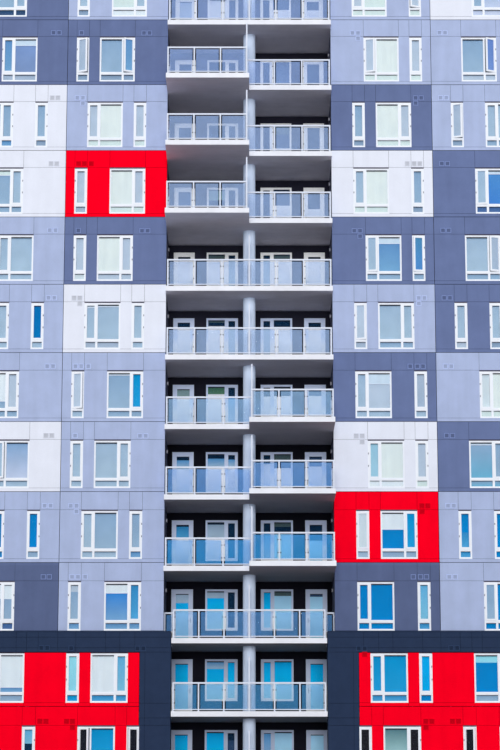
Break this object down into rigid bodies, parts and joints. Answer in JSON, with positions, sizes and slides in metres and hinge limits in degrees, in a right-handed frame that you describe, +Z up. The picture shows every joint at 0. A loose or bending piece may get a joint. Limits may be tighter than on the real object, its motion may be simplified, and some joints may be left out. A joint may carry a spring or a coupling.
{
  "type": "apartment block",
  "caption": "Painted concrete apartment block with a central recess of stacked glass-railed balconies.",
  "frame": {"origin": "on the ground, at the centre of the block's outline seen from above", "axes": "+X to the right along the front, +Y from the front into the building, +Z up"},
  "size_m": [24.8, 18.01, 38.7],
  "materials": {
    "concrete": "matte",
    "white_paint": "matte",
    "light_paint": "matte",
    "slate_paint": "matte",
    "red_paint": "matte",
    "navy_paint": "matte",
    "charcoal_paint": "matte",
    "window_frame": "satin",
    "rail_metal": "satin",
    "glass": "clear"
  },
  "bodies": {
    "root": {"balcony_columns": "white_paint", "balcony_doors": "window_frame", "balcony_slabs": "white_paint", "balcony_windows": "glass", "end_panels_light": "light_paint", "end_panels_slate": "slate_paint", "end_panels_white": "white_paint", "end_window_glass": "glass", "floor_slab_01": "concrete", "floor_slab_02": "concrete", "floor_slab_03": "concrete", "floor_slab_04": "concrete", "floor_slab_05": "concrete", "floor_slab_06": "concrete", "floor_slab_07": "concrete", "floor_slab_08": "concrete", "floor_slab_09": "concrete", "floor_slab_10": "concrete", "floor_slab_11": "concrete", "floor_slab_12": "concrete", "floor_slab_13": "concrete", "front_panels_light": "light_paint", "front_panels_red": "red_paint", "front_panels_slate": "slate_paint", "front_panels_white": "white_paint", "front_rail_glass": "glass", "front_rails": "rail_metal", "front_window_glass": "glass", "podium_end_panels": "navy_paint", "podium_frame": "navy_paint", "podium_panels_red": "red_paint", "podium_piers": "navy_paint", "podium_rear_panels": "navy_paint", "privacy_screens": "rail_metal", "rear_panels_light": "light_paint", "rear_panels_slate": "slate_paint", "rear_panels_white": "white_paint", "rear_window_glass": "glass", "recess_back_walls": "charcoal_paint", "recess_side_walls": "charcoal_paint", "roof_parapet": "white_paint", "roof_slab": "concrete", "side_rail_glass": "glass", "side_rails": "rail_metal"}
  },
  "joints": []
}
